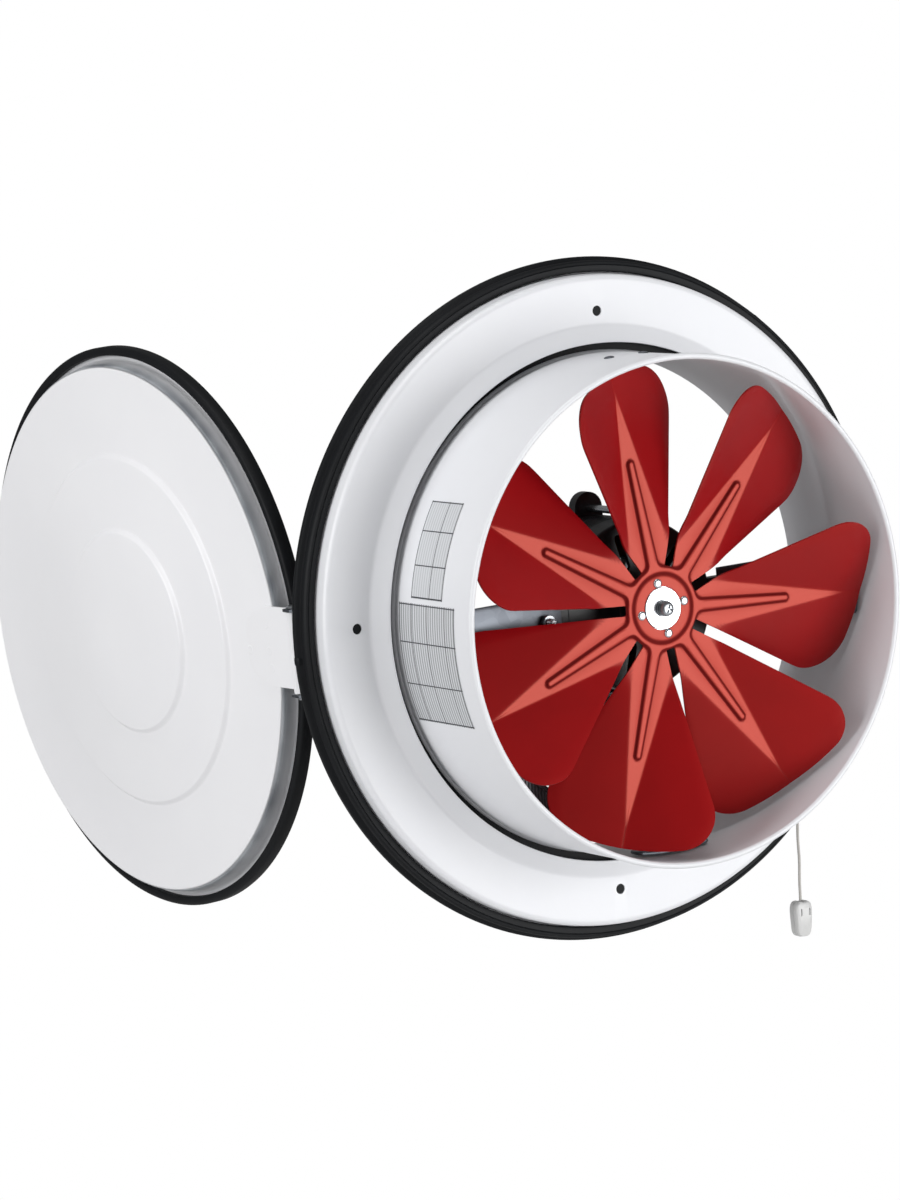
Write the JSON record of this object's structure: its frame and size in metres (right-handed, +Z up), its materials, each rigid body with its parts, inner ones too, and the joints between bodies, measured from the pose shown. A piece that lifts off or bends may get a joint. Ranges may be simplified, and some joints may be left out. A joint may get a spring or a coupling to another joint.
{
  "type": "exhaust fan",
  "caption": "Round wall exhaust fan: white drum and mounting plate, red pressed impeller on a central motor, swing lid with a rubber edge, and a pull-cord switch.",
  "frame": {"origin": "on the fan's axis, in the front face of the mounting plate", "axes": "+Z up, +Y along the fan's axis into the room, away from the duct, +X to the side of the pull cord"},
  "size_m": [0.3714, 0.4337, 0.3794],
  "materials": {
    "white_enamel": "gloss",
    "black_rubber": "satin",
    "red_paint": "satin",
    "zinc": "zinc plated",
    "steel": "plain",
    "galvanised": "galvanised",
    "black_paint": "semi-gloss",
    "copper": "enamelled wire",
    "bronze": "sintered",
    "grey_moulding": "matt",
    "black_moulding": "matt",
    "white_moulding": "smooth",
    "cord_white": "twisted"
  },
  "bodies": {
    "housing": {"arm_bolt_bottom": "zinc", "arm_bolt_left": "zinc", "arm_bolt_right": "zinc", "arm_bolt_top": "zinc", "arm_nut_bottom": "zinc", "arm_nut_left": "zinc", "arm_nut_right": "zinc", "arm_nut_top": "zinc", "bracket_arm_bottom": "galvanised", "bracket_arm_left": "galvanised", "bracket_arm_right": "galvanised", "bracket_arm_top": "galvanised", "cable_gland": "black_moulding", "cord_guide": "white_moulding", "drum": "white_enamel", "drum_seal": "black_rubber", "front_bearing": "bronze", "front_winding": "copper", "hinge_bracket": "galvanised", "hinge_pin": "steel", "lid_seat_ring": "white_enamel", "motor_front_bell": "black_paint", "motor_rear_bell": "black_paint", "motor_tie_bolt_bottom": "zinc", "motor_tie_bolt_left": "zinc", "motor_tie_bolt_right": "zinc", "motor_tie_bolt_top": "zinc", "mounting_plate": "white_enamel", "plate_gasket": "black_rubber", "rear_bearing": "bronze", "rear_winding": "copper", "stator_core": "black_paint", "switch_cover": "white_moulding", "switch_cover_screw_a": "zinc", "switch_cover_screw_b": "zinc", "switch_housing": "white_moulding", "switch_spring": "steel", "terminal_box": "grey_moulding", "terminal_cover": "grey_moulding", "terminal_cover_screw_a": "zinc", "terminal_cover_screw_b": "zinc"},
    "spinner": {"rotor": "steel", "motor_shaft": "steel", "impeller": "red_paint", "impeller_hub": "zinc", "impeller_rivet_1": "zinc", "impeller_rivet_2": "zinc", "impeller_rivet_3": "zinc", "impeller_rivet_4": "zinc", "impeller_screw": "steel", "spring_washer": "steel", "flat_washer": "steel"},
    "lid": {"lid_panel": "white_enamel", "lid_gasket": "black_rubber", "hinge_leaf": "white_enamel"},
    "pull": {"switch_slider": "white_moulding", "pull_cord": "cord_white", "knob_front_shell": "white_moulding", "knob_back_shell": "white_moulding"}
  },
  "joints": [
    {"name": "impeller_spin", "type": "hinge", "parent": "housing", "child": "spinner", "pos_m": [0, -0.0512, 0], "axis": [0, 1, 0], "continuous": true},
    {"name": "lid_swing", "type": "hinge", "parent": "housing", "child": "lid", "pos_m": [-0.17105, 0.031, -0.01244], "axis": [-0.0725, 0, 0.9974], "range_deg": [-94.15, 0]},
    {"name": "cord_pull", "type": "slide", "parent": "housing", "child": "pull", "axis": [0, 0, -1], "range_m": [0, 0.007], "stiffness_N_per_m": 600, "springref_m": -0.003, "deforming": ["switch_spring"]}
  ]
}
